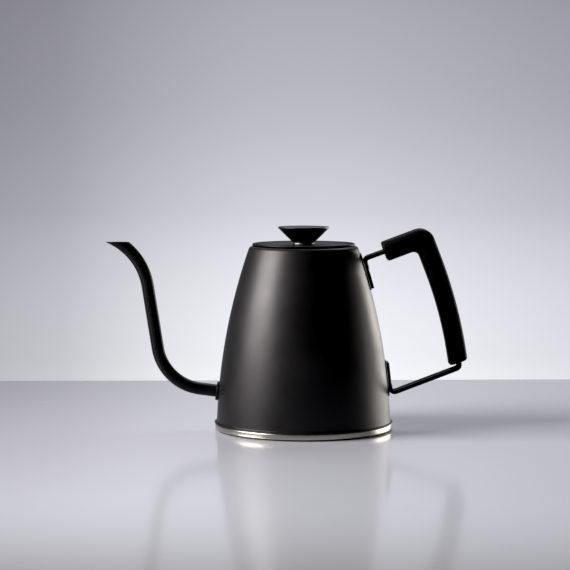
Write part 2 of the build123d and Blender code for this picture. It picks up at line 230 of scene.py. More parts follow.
# The second colour of each finish shows on its edges, as wear and as a painted highlight.
COATED_BLACK = ((0.001, 0.001, 0.0013), (0.010, 0.010, 0.011), grain_group, COATING, 0.35, 0.02)
finishes = {
    "black_coating": finish("black coating", *COATED_BLACK, Specular_IOR_Level=0.3),
    "deep_coating": finish("deep coating", *COATED_BLACK, Specular_IOR_Level=0.13),
    "grip_resin": finish(
        "grip resin", (0.0008, 0.0008, 0.001), (0.004, 0.004, 0.0045),
        grain_group, {"Scale": 1500.0, "Rough Low": 0.5, "Rough High": 0.62}, 0.5, 0.04,
        Specular_IOR_Level=0.07),
    "knob_resin": finish(
        "knob resin", (0.004, 0.0045, 0.0045), (0.012, 0.012, 0.012),
        grain_group, {"Scale": 2200.0, "Rough Low": 0.3, "Rough High": 0.42}, 0.2, 0.02,
        Specular_IOR_Level=0.35),
    "satin_steel": finish(
        "satin steel", (0.40, 0.38, 0.335), (0.54, 0.51, 0.46),
        turned_group, {"Lines": 4200.0, "Rough Low": 0.2, "Rough High": 0.32}, 0.25, 0.01,
        Metallic=1.0),
    # The cap's steel is coloured very dark: painted shade for the thin dark line under the band.
    "cap_steel": finish(
        "cap steel darkened as shade", (0.05, 0.049, 0.047), (0.2, 0.195, 0.19),
        turned_group, {"Lines": 2500.0, "Rough Low": 0.30, "Rough High": 0.46}, 0.3, 0.01,
        Metallic=1.0),
    "polished_steel": finish(
        "polished steel", (0.14, 0.14, 0.145), (0.3, 0.3, 0.3),
        turned_group, {"Lines": 6000.0, "Rough Low": 0.3, "Rough High": 0.4}, 0.08, 0.005,
        Metallic=1.0),
    "aluminium": finish(
        "aluminium", (0.72, 0.73, 0.74), (0.80, 0.80, 0.80),
        turned_group, {"Lines": 2000.0, "Rough Low": 0.35, "Rough High": 0.5}, 0.3, 0.02,
        Metallic=1.0),
    "brass": finish(
        "brass", (0.62, 0.45, 0.18), (0.75, 0.58, 0.28),
        turned_group, {"Lines": 5000.0, "Rough Low": 0.25, "Rough High": 0.4}, 0.2, 0.01,
        Metallic=1.0),
    "screw_steel": finish(
        "screw steel", (0.45, 0.45, 0.46), (0.6, 0.6, 0.6),
        turned_group, {"Lines": 5000.0, "Rough Low": 0.22, "Rough High": 0.34}, 0.2, 0.01,
        Metallic=1.0),
}
print("finishes:", sorted(finishes))

# %% [markdown]
# ## Dress the frame
# Before anything is modelled, every piece of the frame gets its finish. Most of them are coated
# black, so only the others are listed. From here the kettle can be rendered at any time, and
# each cell below replaces one plain piece with a finer one.


# %% Give the frame its finishes
def dress(piece, slot, look=None):
    """Gives a piece the finish of its slot, or another look for that slot."""
    piece.data.materials.clear()
    piece.data.materials.append(finishes[look or slot])


FINISH_OF = {
    "base_pan": "satin_steel", "base_cap": "cap_steel", "heat_spreader": "aluminium",
    "grip_half_left": "grip_resin", "grip_half_right": "grip_resin", "grip_screws": "screw_steel",
    "lid_skirt": "satin_steel", "knob_washer": "polished_steel", "lid_knob": "knob_resin",
    "knob_insert": "brass", "knob_screw": "screw_steel", "knob_lock_washer": "screw_steel",
}
for name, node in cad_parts.items():
    dress(node, FINISH_OF.get(name, "black_coating"))
print("dressed pieces:", len(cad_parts))

# %% [markdown]
# ## Helpers for modelling
# Most pieces here are made in one of two ways. A round piece is half of its outline, drawn
# point by point and turned about the axis, as a potter or a lathe makes it. A bent piece is a
# ring that is carried along a line of straight runs and bends, as a tube bender makes it.
# Outlines are written as (x, z) points in millimetres, and `arc` gives the points of a curve.


# %% Outline helpers
def arc(centre, radius, start, end, steps=8):
    """Points on an arc in mm, from one heading in degrees to another."""
    headings = [radians(start + (end - start) * step / steps) for step in range(steps + 1)]
    return [(centre[0] + radius * cos(h), centre[1] + radius * sin(h)) for h in headings]


def heading_of(start, end):
    return degrees(atan2(end[1] - start[1], end[0] - start[0]))


def along(start, heading, length):
    """The point at a distance from start, towards a heading in degrees."""
    return (start[0] + length * cos(radians(heading)), start[1] + length * sin(radians(heading)))


def bend_at(before, corner, after, radius):
    """How a path bends at a corner: where the bend starts, its centre, its turn, where it ends."""
    heading = heading_of(before, corner)
    turn_by = (heading_of(corner, after) - heading + 180) % 360 - 180
    reach = radius * tan(radians(abs(turn_by)) / 2)
    start = along(corner, heading, -reach)
    centre = along(start, heading + copysign(90, turn_by), radius)
    return start, centre, turn_by, along(corner, heading + turn_by, reach)


# %% Modelling helpers
def begin(add_primitive, name, **options):
    """Adds a primitive at its place with nothing else selected, and opens it for editing."""
    bpy.ops.object.select_all(action="DESELECT")
    add_primitive(**options)
    bpy.ops.object.transform_apply(location=True, rotation=True, scale=True)
    piece = bpy.context.object
    piece.name = name
    bpy.ops.object.mode_set(mode="EDIT")
    bpy.ops.mesh.select_mode(type="VERT")
    bpy.ops.mesh.select_all(action="SELECT")
    return piece


def choose(piece, kind, test):
    """Selects the vertices, edges or faces for which test is true."""
    bpy.ops.mesh.select_mode(type=kind)
    bpy.ops.mesh.select_all(action="DESELECT")
    mesh = bmesh.from_edit_mesh(piece.data)
    parts = {"VERT": mesh.verts, "EDGE": mesh.edges, "FACE": mesh.faces}[kind]
    for part in parts:
        if test(part):
            part.select_set(True)
    mesh.select_flush_mode()
    bmesh.update_edit_mesh(piece.data)


def push(start, end):
    """Extrudes the chosen edges from one (x, z) point to another, in mm."""
    move = ((end[0] - start[0]) * MM, 0, (end[1] - start[1]) * MM)
    bpy.ops.mesh.extrude_edges_move(TRANSFORM_OT_translate={"value": move})


def settle(piece, sharp=30):
    """Merges doubles, turns the faces outwards, leaves edit mode and smooths the soft edges."""
    bpy.ops.object.mode_set(mode="EDIT")
    bpy.ops.mesh.select_all(action="SELECT")
    bpy.ops.mesh.remove_doubles(threshold=0.002 * MM)
    bpy.ops.mesh.normals_make_consistent(inside=False)
    bpy.ops.object.mode_set(mode="OBJECT")
    bpy.ops.object.shade_smooth_by_angle(angle=radians(sharp))
    return piece


def draw(name, outline):
    """One vertex, extruded from point to point of an outline. The piece stays open for editing."""
    piece = begin(bpy.ops.mesh.primitive_plane_add, name, size=MM)
    bpy.ops.mesh.merge(type="CENTER")
    x, z = outline[0]
    bpy.ops.transform.translate(value=(x * MM, 0, z * MM))
    for next_x, next_z in outline[1:]:
        move = ((next_x - x) * MM, 0, (next_z - z) * MM)
        bpy.ops.mesh.extrude_vertices_move(TRANSFORM_OT_translate={"value": move})
        x, z = next_x, next_z
    return piece


def turn(name, outline, sides=192, closed=True):
    """Turns an outline about the kettle's axis. A closed one comes back to its first point."""
    piece = draw(name, outline + outline[:1] if closed else outline)
    bpy.ops.mesh.select_all(action="SELECT")
    bpy.ops.mesh.spin(steps=sides, angle=2 * pi, center=(0, 0, 0), axis=(0, 0, 1))
    return settle(piece)


def modify(piece, kind, **options):
    """Adds a modifier, sets it and applies it."""
    bpy.ops.object.select_all(action="DESELECT")
    piece.select_set(True)
    bpy.context.view_layer.objects.active = piece
    modifier = piece.modifiers.new(kind.lower(), kind)
    for option, value in options.items():
        setattr(modifier, option, value)
    bpy.ops.object.modifier_apply(modifier=modifier.name)


def bore(piece, radius, start, end, sides=48):
    """Cuts a round hole from one point to another, in mm. The tool is taken away afterwards."""
    start, end = Vector(start) * MM, Vector(end) * MM
    turned_to = (end - start).to_track_quat("Z", "Y").to_euler()
    tool = begin(bpy.ops.mesh.primitive_cylinder_add, "tool", vertices=sides, radius=radius * MM,
                 depth=(end - start).length, location=(start + end) / 2, rotation=turned_to)
    bpy.ops.object.mode_set(mode="OBJECT")
    modify(piece, "BOOLEAN", object=tool, operation="DIFFERENCE", solver="EXACT")
    bpy.data.objects.remove(tool)


def fit(piece, body, slot, *nodes, look=None):
    """Gives a finished piece its finish and its place, and hides the frame's plain one."""
    dress(piece, slot, look)
    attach(piece, body)
    if nodes:
        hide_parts(*nodes)
    spots = [vertex.co for vertex in piece.data.vertices]
    low = [round(min(spot[i] for spot in spots) / MM, 1) for i in range(3)]
    high = [round(max(spot[i] for spot in spots) / MM, 1) for i in range(3)]
    print(piece.name, "has", len(piece.data.polygons), "faces and reaches from", low, "to", high)


# %% [markdown]
# ## The body shell
# The body is one sheet of steel, 0.8 mm thick, that was spun to a tapering wall. The wall is a
# very long arc, so its radius at any height comes from a circle. At the foot the sheet is
# flared to a lip with a rounded edge. At the top it rolls over a soft shoulder, runs flat
# under the lid, and turns down into the mouth, where its raw edge is hemmed. The outline goes
# once round the sheet, outside and inside, so the turned shell is solid.

# %% Turn the body shell
WALL_CENTRE = (-419.2, -10.1)
WALL_RADIUS = 491.5
SHEET = 0.8
LIP_EDGE = 0.55
LIP_RADIUS, LIP_UNDER, LIP_TOP = 73.9, 5.8, 6.9
SHOULDER_TOP, SHOULDER_BEND = 152.5, 4.0
MOUTH_RADIUS, MOUTH_BEND, NECK_BOTTOM = 38.5, 1.2, 146.5


def wall_radius(height, offset=0.0):
    """Radius of the wall at a height, or of a surface that is offset outwards from it."""
    return WALL_CENTRE[0] + sqrt((WALL_RADIUS + offset) ** 2 - (height - WALL_CENTRE[1]) ** 2)


def wall(low, high, offset=0.0, step=3.0):
    """Points up the wall, about one step apart."""
    count = max(1, round((high - low) / step))
    heights = [low + (high - low) * n / count for n in range(count + 1)]
    return [(wall_radius(height, offset), height) for height in heights]


share = SHOULDER_BEND / WALL_RADIUS
shoulder_start = (SHOULDER_TOP - SHOULDER_BEND - share * WALL_CENTRE[1]) / (1 - share)
shoulder_spot = (wall_radius(shoulder_start), shoulder_start)
shoulder_heading = heading_of(WALL_CENTRE, shoulder_spot)
shoulder_centre = along(shoulder_spot, shoulder_heading, -SHOULDER_BEND)
inner_shoulder = along(shoulder_centre, shoulder_heading, SHOULDER_BEND - SHEET)
roll_centre = (MOUTH_RADIUS + MOUTH_BEND, SHOULDER_TOP - MOUTH_BEND)
cove_centre = (wall_radius(LIP_TOP + SHEET) + SHEET, LIP_TOP + SHEET)
SPOUT_CORNERS = [(-68.9, 31.7), (-116.1, 37.9), (-134.8, 157.5), (-176.0, 164.1)]
SPOUT_RADIUS = 5.15
SPOUT_HOLE_START, SPOUT_HOLE_END = (-62.0, 0, 30.8), (-78.0, 0, 32.9)
spout_foot = SPOUT_CORNERS[0]
FINE_BELOW, FINE_ABOVE = spout_foot[1] - 10, spout_foot[1] + 10

shell_outline = (
    arc((LIP_RADIUS - LIP_EDGE, (LIP_UNDER + LIP_TOP) / 2), LIP_EDGE, -90, 90)
    + arc(cove_centre, SHEET, 270, 180)
    + wall(LIP_TOP + SHEET, FINE_BELOW)[1:]
    + wall(FINE_BELOW, FINE_ABOVE, step=0.8)[1:]
    + wall(FINE_ABOVE, shoulder_start)[1:]
    + arc(shoulder_centre, SHOULDER_BEND, shoulder_heading, 90, 12)[1:]
    + arc(roll_centre, MOUTH_BEND, 90, 180)
    + arc((MOUTH_RADIUS + SHEET / 2, NECK_BOTTOM + SHEET / 2), SHEET / 2, 180, 360)
    + arc(roll_centre, MOUTH_BEND - SHEET, 180, 90)
    + arc(shoulder_centre, SHOULDER_BEND - SHEET, 90, shoulder_heading, 12)
    + wall(LIP_UNDER, inner_shoulder[1], -SHEET)[-2::-1]
)
shell = turn("shell", shell_outline, sides=256)
bore(shell, SPOUT_RADIUS, SPOUT_HOLE_START, SPOUT_HOLE_END, sides=64)
settle(shell)
fit(shell, "kettle_body", "black_coating", "body_shell")

# %% [markdown]
# ## The foot
# Under the lip sits a pan of bare steel. Only the band round its rim shows, as the bright line
# at the kettle's foot. A slightly smaller cap closes the layers below it and stands on the
# table, so that a thin shadow shows under the band. The cap's steel is coloured very dark, which
# paints shade into that line as well. The cap's middle is pressed up a little, which keeps the
# kettle from rocking.

# %% Turn the band and the cap
BAND_RADIUS, BAND_TOP, BAND_BOTTOM, PAN_CORNER = 73.4, 5.8, 1.3, 0.8
CAP_RADIUS, CAP_SHEET, CAP_CORNER = 72.4, 0.8, 1.2
CAP_INNER_RADIUS, CAP_FOOT_RADIUS, PRESSED_RADIUS, PRESSED_UP = 71.4, 63.0, 54.0, 0.3
FLOOR_RING = 60.0

band_inner = BAND_RADIUS - SHEET
pan_floor = BAND_TOP - SHEET
pan_outline = (
    [(0, pan_floor), (FLOOR_RING, pan_floor), (band_inner, pan_floor)]
    + arc((BAND_RADIUS - SHEET / 2, BAND_BOTTOM + SHEET / 2), SHEET / 2, 180, 360)
    + arc((BAND_RADIUS - PAN_CORNER, BAND_TOP - PAN_CORNER), PAN_CORNER, 0, 90)
    + [(FLOOR_RING, BAND_TOP), (0, BAND_TOP)]
)
band = turn("foot_band", pan_outline, sides=256, closed=False)
fit(band, "kettle_body", "satin_steel", "base_pan")

cap_outline = (
    [(0, PRESSED_UP), (20, PRESSED_UP), (40, PRESSED_UP), (PRESSED_RADIUS, PRESSED_UP),
     (PRESSED_RADIUS + 0.5, PRESSED_UP / 2), (PRESSED_RADIUS + 1, 0), (CAP_FOOT_RADIUS, 0)]
    + arc((CAP_RADIUS - CAP_CORNER, CAP_CORNER), CAP_CORNER, 270, 360)
    + [(CAP_RADIUS, pan_floor), (CAP_INNER_RADIUS, pan_floor), (CAP_INNER_RADIUS, CAP_SHEET),
       (0, CAP_SHEET)]
)
cap = turn("foot_cap", cap_outline, sides=192, closed=False)
fit(cap, "kettle_body", "cap_steel", "base_cap")

# %% [markdown]
# ## The lid
# The lid's cover is a flat dish with a thick round rim, which the eye reads as a thin bead
# with a dark gap below it. Behind the knob it has one small hole that lets steam out. The
# skirt under it is a plain ring that drops into the mouth and keeps the lid in place.

# %% Turn the lid and its skirt
LID_RADIUS, LID_UNDER, DISH_TOP, RIM_TOP = 42.5, 152.8, 153.6, 154.6
BEAD = (RIM_TOP - LID_UNDER) / 2
COVE_X, COVE = 39.7, 0.7
SCREW_RADIUS = 2.0
SKIRT_RADIUS, SKIRT_BOTTOM, SKIRT_FLANGE, SKIRT_BEND = 37.9, 139.8, 29.0, 1.2
VENT_RADIUS, VENT_X = 1.5, -27.0

bead_centre = (LID_RADIUS - BEAD, LID_UNDER + BEAD)
cover_outline = (
    [(SCREW_RADIUS, LID_UNDER), (20, LID_UNDER), (34, LID_UNDER)]
    + arc(bead_centre, BEAD, -90, 160, 20)
    + arc((COVE_X, DISH_TOP + COVE), COVE, 310, 270, 4)
    + [(34, DISH_TOP), (28, DISH_TOP), (20, DISH_TOP), (SCREW_RADIUS, DISH_TOP)]
)
cover = turn("lid_dish", cover_outline, sides=256)
bore(cover, VENT_RADIUS, (VENT_X, 0, LID_UNDER - 2), (VENT_X, 0, DISH_TOP + 2), sides=32)
settle(cover)
fit(cover, "lid", "black_coating", "lid_cover", look="deep_coating")

skirt_corner = (SKIRT_RADIUS - SKIRT_BEND, LID_UNDER - SKIRT_BEND)
hem = (SKIRT_RADIUS - SHEET / 2, SKIRT_BOTTOM + SHEET / 2)
skirt_outline = (
    [(SKIRT_FLANGE, LID_UNDER - SHEET)]
    + arc(skirt_corner, SKIRT_BEND - SHEET, 90, 0, 4)
    + arc(hem, SHEET / 2, 180, 360)
    + arc(skirt_corner, SKIRT_BEND, 0, 90)
    + [(SKIRT_FLANGE, LID_UNDER)]
)
fit(turn("lid_guide", skirt_outline, sides=192), "lid", "satin_steel", "lid_skirt")

# %% [markdown]
# ## The knob
# The knob is a black cone that stands on its point, cut flat on top. Its rim is a narrow edge
# with rounded corners, and its top is hollowed by half a millimetre so that it catches a soft
# light. A steel washer lies between the knob and the lid and shows as two small glints.

# %% Turn the knob and its washer
WASHER_RADIUS, KNOB_FOOT_Z = 9.2, 155.2
KNOB_FOOT, KNOB_RADIUS, KNOB_RIM_Z, KNOB_TOP_Z = 8.9, 21.25, 167.4, 168.3
INSERT_RADIUS, INSERT_HEIGHT = 3.2, 8.0
KNOB_EDGE, FOOT_EDGE, WASHER_EDGE, CONE_RING = 0.3, 0.3, 0.3, 15.0
KNOB_HOLLOW = [(19.6, 0.1), (17.0, 0.28), (12.0, 0.4), (6.0, 0.48), (0, 0.5)]

cone_slope = (KNOB_RIM_Z - KNOB_FOOT_Z) / (KNOB_RADIUS - KNOB_FOOT)
knob_outline = (
    [(0, KNOB_FOOT_Z + INSERT_HEIGHT), (INSERT_RADIUS, KNOB_FOOT_Z + INSERT_HEIGHT),
     (INSERT_RADIUS, KNOB_FOOT_Z)]
    + arc((KNOB_FOOT - 0.25, KNOB_FOOT_Z + FOOT_EDGE), FOOT_EDGE, 270, 315, 4)
    + [(CONE_RING, KNOB_FOOT_Z + (CONE_RING - KNOB_FOOT) * cone_slope)]
    + arc((KNOB_RADIUS - KNOB_EDGE, KNOB_RIM_Z + KNOB_EDGE / 2), KNOB_EDGE, -45, 0, 4)
    + arc((KNOB_RADIUS - KNOB_EDGE, KNOB_TOP_Z - KNOB_EDGE), KNOB_EDGE, 0, 90, 6)
    + [(x, KNOB_TOP_Z - drop) for x, drop in KNOB_HOLLOW]
)
knob = turn("knob_cone", knob_outline, sides=192, closed=False)
fit(knob, "lid", "knob_resin", "lid_knob")

washer_outline = (
    [(SCREW_RADIUS, DISH_TOP)]
    + arc((WASHER_RADIUS - WASHER_EDGE, DISH_TOP + WASHER_EDGE), WASHER_EDGE, 270, 360, 4)
    + arc((WASHER_RADIUS - WASHER_EDGE, KNOB_FOOT_Z - WASHER_EDGE), WASHER_EDGE, 0, 90, 4)
    + [(SCREW_RADIUS, KNOB_FOOT_Z)]
)
fit(turn("knob_seat", washer_outline, sides=128), "lid", "polished_steel", "knob_washer")

# %% [markdown]
# ## The spout
# A gooseneck is a long thin tube with two opposite bends, which slows the pour to a thread.
# The maker bends a straight tube, so we do the same with a ring. It starts inside the wall,
# runs out, is spun through the first bend, runs up and is spun through the second. The sheet
# then gets its thickness, and a level cut makes the long pointed lip.

# %% Bend the spout
SPOUT_BENDS, SPOUT_TIP_Z = [40.5, 53.4], 155.8
BEND_STEP = 3.0


def ring(name, place, heading, radius, sides, y=0.0):
    """A ring in mm that looks along a heading, open for editing with all its edges chosen."""
    return begin(bpy.ops.mesh.primitive_circle_add, name, vertices=sides, radius=radius * MM,
                 location=(place[0] * MM, y * MM, place[1] * MM),
                 rotation=(0, radians(90 - heading), 0))


def swing(centre, turn_by, y, steps):
    """Carries the ring round a centre. A positive turn goes anticlockwise from the front."""
    bpy.ops.mesh.spin(steps=steps, angle=radians(turn_by), axis=(0, 1, 0),
                      center=(centre[0] * MM, y * MM, centre[1] * MM))


def carry(corners, bends, y=0.0):
    """Carries the ring from the first corner to the last, with a bend at each corner between."""
    here = corners[0]
    for before, corner, after, radius in zip(corners, corners[1:], corners[2:], bends):
        start, centre, turn_by, end = bend_at(before, corner, after, radius)
        push(here, start)
        swing(centre, turn_by, y, max(4, round(radians(abs(turn_by)) * radius / BEND_STEP)))
        here = end
    push(here, corners[-1])


root_heading = heading_of(SPOUT_CORNERS[0], SPOUT_CORNERS[1])
spout = ring("gooseneck", SPOUT_CORNERS[0], root_heading, SPOUT_RADIUS, 64)
carry(SPOUT_CORNERS, SPOUT_BENDS)
settle(spout)
modify(spout, "SOLIDIFY", thickness=SHEET * MM, offset=-1.0)
bpy.ops.object.mode_set(mode="EDIT")
bpy.ops.mesh.select_all(action="SELECT")
bpy.ops.mesh.bisect(plane_co=(0, 0, SPOUT_TIP_Z * MM), plane_no=(0, 0, 1), clear_outer=True,
                    threshold=0.001 * MM)
bpy.ops.mesh.bridge_edge_loops()
settle(spout)
fit(spout, "kettle_body", "black_coating", "spout_tube", look="deep_coating")

# %% [markdown]
# ## The spout's collar
# A short ring hides the joint between the spout and the body. It stands off the wall by two
# millimetres, square to the tube and not to the wall. It's turned upright at the origin, then
# laid over and carried to the joint.

# %% Turn the collar and set it on the joint
COLLAR_RADIUS, COLLAR_PROUD, COLLAR_BACK = 7.85, 2.0, 0.75
COLLAR_EDGE, COLLAR_INNER_EDGE = 0.6, 0.25

collar_face = wall_radius(spout_foot[1]) + spout_foot[0] + COLLAR_PROUD
collar_outline = (
    [(SPOUT_RADIUS - 0.05, COLLAR_BACK), (COLLAR_RADIUS, COLLAR_BACK)]
    + arc((COLLAR_RADIUS - COLLAR_EDGE, collar_face - COLLAR_EDGE), COLLAR_EDGE, 0, 90, 6)
    + arc((SPOUT_RADIUS + 0.2, collar_face - COLLAR_INNER_EDGE), COLLAR_INNER_EDGE, 90, 180, 4)
)
collar = turn("spout_ring", collar_outline, sides=96)
bpy.ops.object.mode_set(mode="EDIT")
bpy.ops.mesh.select_all(action="SELECT")
bpy.ops.transform.rotate(value=radians(root_heading - 90), orient_axis="Y",
                         center_override=(0, 0, 0))
bpy.ops.transform.translate(value=(spout_foot[0] * MM, 0, spout_foot[1] * MM))
bpy.ops.object.mode_set(mode="OBJECT")
fit(collar, "kettle_body", "black_coating", "spout_collar", look="deep_coating")

# %% [markdown]
# ## The saddle plates
# Two thin plates spread the handle's pull over the wall. Each is a flat blank with rounded
# corners that is pressed round the body. We cut a flat blank into narrow strips, so that it
# can bend, then lay it on the wall and give it its thickness outwards.

# %% Press the saddle plates
PLATE_THICKNESS, PLATE_WIDTH, PLATE_CORNER, PLATE_EDGE = 0.9, 22.0, 3.0, 0.2
BLANK_X, ROW_HEIGHT = 0.1, 3
PLATE_SPANS = {
    "saddle_upper": (116.3, 145.8, "upper_bracket"),
    "saddle_lower": (28.3, 57.2, "lower_bracket"),
}

for name, (low, high, node) in PLATE_SPANS.items():
    middle = (BLANK_X, 0, (low + high) / 2 * MM)
    plate = begin(bpy.ops.mesh.primitive_plane_add, name, size=1.0, location=middle,
                  rotation=(0, radians(90), 0))
    bpy.ops.transform.resize(value=(1, PLATE_WIDTH * MM, (high - low) * MM),
                             center_override=middle)
    bpy.ops.mesh.bevel(offset=PLATE_CORNER * MM, segments=6, affect="VERTICES")
    half_width = round(PLATE_WIDTH / 2)
    for y in range(1 - half_width, half_width):
        bpy.ops.mesh.select_all(action="SELECT")
        bpy.ops.mesh.bisect(plane_co=(0, y * MM, 0), plane_no=(0, 1, 0), threshold=0.001 * MM)
    for z in range(round(low) + 2, round(high), ROW_HEIGHT):
        bpy.ops.mesh.select_all(action="SELECT")
        bpy.ops.mesh.bisect(plane_co=(0, 0, z * MM), plane_no=(0, 0, 1), threshold=0.001 * MM)
    bpy.ops.object.mode_set(mode="OBJECT")
    modify(plate, "SHRINKWRAP", target=shell, wrap_method="PROJECT", use_project_x=True,
           use_negative_direction=True, use_positive_direction=False)
    modify(plate, "SOLIDIFY", thickness=PLATE_THICKNESS * MM, offset=1.0)
    modify(plate, "BEVEL", width=PLATE_EDGE * MM, segments=2, limit_method="ANGLE",
           angle_limit=radians(60))
    settle(plate)
    fit(plate, "kettle_body", "black_coating", node, look="deep_coating")

# %% [markdown]
# ## The rods
# Two round rods carry the grip. Their ends are hammered flat where they are fixed to the
# saddle plates. Each rod is made from both ends towards the middle of the grip, where nobody
# sees the joint. An end starts as a flat ring, follows the wall, swells to a round ring, and
# then bends away from the body.

# %% Bend the rods
ROD_RADIUS, ROD_SPACING = 1.9, 8.6
TAIL_THICKNESS, TAIL_WIDTH, TAIL_BEND = 1.8, 5.6, 3.5
ROD_CORNERS = [(99.7, 159.75), (122.7, 99.9), (129.9, 51.4)]
ROD_CORNER_BENDS = [10.0, 330.0, 3.8]
UPPER_FOOT, LOWER_FOOT = (50.2, 141.73), (72.5, 29.65)
UPPER_TIP, LOWER_TIP = 117.5, 55.8
SWELL, SWELL_LENGTH, ROUND_LENGTH = [0.35, 0.6, 1.0], 5.0, 3.0
TIP_EDGE, TAIL_DEPTH, TIP_DEPTH = 0.3, 6.0, 1.5
tail_offset = PLATE_THICKNESS + TAIL_THICKNESS / 2


def tail_spot(height, y):
    """Where the middle of a tail lies at a height. The wall falls away a little at the sides."""
    return (sqrt(wall_radius(height, tail_offset) ** 2 - y ** 2), height)


def turned_axes(heading):
    """Axes for a transform: the first along the heading, the third square to it, both upright."""
    return Matrix.Rotation(radians(-heading), 3, "Y")


def flatten(piece, spot, heading, thickness, y):
    """Presses the ring at a spot flat, so that its two sides are one thickness apart."""
    ahead = Vector((cos(radians(heading)), 0, sin(radians(heading))))
    middle = Vector((spot[0], y, spot[1])) * MM
    for sense in (1, -1):
        out = Vector((-ahead.z, 0, ahead.x)) * sense
        choose(piece, "VERT", lambda vertex: abs((vertex.co - middle).dot(ahead)) < 0.01 * MM
               and (vertex.co - middle).dot(out) > thickness / 2 * MM)
        bpy.ops.transform.resize(value=(1, 1, 0), orient_matrix=turned_axes(heading),
                                 orient_matrix_type="GLOBAL", orient_type="GLOBAL",
                                 center_override=middle + out * thickness / 2 * MM)


def half_rod(name, tip_height, foot, corners, bends, y):
    """One half of a rod, from the tip of its flat tail to the middle of the grip."""
    upwards = copysign(1, foot[1] - tip_height)
    swell_height = foot[1] - upwards * (TAIL_BEND + ROUND_LENGTH)
    flat_height = swell_height - upwards * SWELL_LENGTH
    tip = tail_spot(tip_height, y)
    wall_centre = (tip[0] - wall_radius(tip_height, tail_offset) + WALL_CENTRE[0], WALL_CENTRE[1])
    tip_heading = heading_of(wall_centre, tip)
    flat_heading = heading_of(wall_centre, tail_spot(flat_height, y))
    swell_heading = heading_of(wall_centre, tail_spot(swell_height, y))

    heading = tip_heading + 90 * upwards
    piece = ring(name, tip, heading, TAIL_WIDTH / 2, 32, y)
    flatten(piece, tip, heading, TAIL_THICKNESS, y)
    choose(piece, "EDGE", lambda edge: True)
    swing(wall_centre, flat_heading - tip_heading, y, 8)
    for i, share_round in enumerate(SWELL):
        swing(wall_centre, (swell_heading - flat_heading) / len(SWELL), y, 1)
        here = tail_spot(flat_height + upwards * SWELL_LENGTH * (i + 1) / len(SWELL), y)
        middle = Vector((here[0], y, here[1])) * MM
        bpy.ops.transform.tosphere(value=share_round, center_override=middle)
    chosen = [vertex.co for vertex in bmesh.from_edit_mesh(piece.data).verts if vertex.select]
    middle = sum(chosen, Vector()) / len(chosen)
    grow = ROD_RADIUS * MM / (chosen[0] - middle).length
    bpy.ops.transform.resize(value=(grow, grow, grow), center_override=middle)
    carry([(middle.x / MM, middle.z / MM), foot] + corners, [TAIL_BEND] + bends, y)

    # The flat tail leans a little, so that it lies square on the round wall.
    lean = asin(y / wall_radius(tip_height, tail_offset))
    choose(piece, "VERT", lambda vertex: (vertex.co.z / MM - flat_height) * upwards < 0.5
           and (vertex.co.z / MM - tip_height) * upwards > -1.0
           and vertex.co.x < middle.x + TAIL_DEPTH * MM)
    bpy.ops.transform.rotate(value=lean, orient_axis="Z",
                             center_override=Vector((tip[0], y, tip[1])) * MM)
    choose(piece, "EDGE", lambda edge: edge.is_boundary
           and all(abs(vertex.co.z / MM - tip_height) < TIP_DEPTH for vertex in edge.verts))
    bpy.ops.mesh.edge_face_add()
    bpy.ops.mesh.bevel(offset=TIP_EDGE * MM, segments=2, affect="EDGES")
    bpy.ops.object.mode_set(mode="OBJECT")
    return piece


meeting = along(ROD_CORNERS[0], heading_of(ROD_CORNERS[0], ROD_CORNERS[1]), 18.0)
for side, y in (("left", -ROD_SPACING / 2), ("right", ROD_SPACING / 2)):
    rod = half_rod("rod_" + side, UPPER_TIP, UPPER_FOOT, [ROD_CORNERS[0], meeting],
                   [ROD_CORNER_BENDS[0]], y)
    other = half_rod("lower_half", LOWER_TIP, LOWER_FOOT,
                     [ROD_CORNERS[2], ROD_CORNERS[1], meeting],
                     [ROD_CORNER_BENDS[2], ROD_CORNER_BENDS[1]], y)
    bpy.ops.object.select_all(action="DESELECT")
    other.select_set(True)
    rod.select_set(True)
    bpy.context.view_layer.objects.active = rod
    bpy.ops.object.join()
    bpy.ops.object.mode_set(mode="EDIT")
    choose(rod, "EDGE", lambda edge: edge.is_boundary)
    bpy.ops.mesh.remove_doubles(threshold=0.1 * MM)
    settle(rod)
    fit(rod, "kettle_body", "black_coating", "handle_rod_" + side, look="deep_coating")

# %% [markdown]
# ## The grip
# The grip is moulded in two halves that close over the rods. We draw its side outline, fill
# it, and pull it out to half the grip's width. The long edges are rounded generously, because
# a hand closes round them, and the two ends only a little. A hair-wide bevel along the middle
# draws the parting line. The left half is a mirrored copy of the right one, which also gets
# three sunk holes for its screws.

# %% Mould the grip
GRIP_CORNERS = [(63.7, 155.3), (103.5, 170.2), (129.5, 102.7), (135.9, 58.1),
                (120.9, 53.0), (114.0, 96.7), (93.9, 148.9), (69.5, 139.7)]
GRIP_BENDS = [0, 12.3, 385.0, 0, 0, 330.0, 5.6, 0]
GRIP_HALF_WIDTH, GRIP_ROUND, GRIP_END_ROUND, END_CLEAR, PARTING = 10.0, 5.5, 2.2, 0.4, 0.22
SCREW_SPOTS = [(78.5, 147.2), (113.1, 106.0), (122.6, 63.9)]
SCREW_HEAD, SCREW_SEAT = 2.5, 4.8


def rounded(corners, bends):
    """The closed outline through the corners, with an arc at each corner that has a bend.

    Points of an arc that would fall within the rounding of a sharp corner are left out.
    """
    points = []
    for i, (corner, radius) in enumerate(zip(corners, bends)):
        if not radius:
            points.append(corner)
            continue
        after = corners[(i + 1) % len(corners)]
        start, centre, turn_by = bend_at(corners[i - 1], corner, after, radius)[:3]
        first = heading_of(centre, start)
        steps = max(10, round(radians(abs(turn_by)) * radius / 4))
        points += arc(centre, radius, first, first + turn_by, steps)
    sharp = [corner for corner, radius in zip(corners, bends) if not radius]
    clear = GRIP_END_ROUND + END_CLEAR
    return [point for point in points if point in sharp
            or min(hypot(point[0] - x, point[1] - z) for x, z in sharp) > clear]


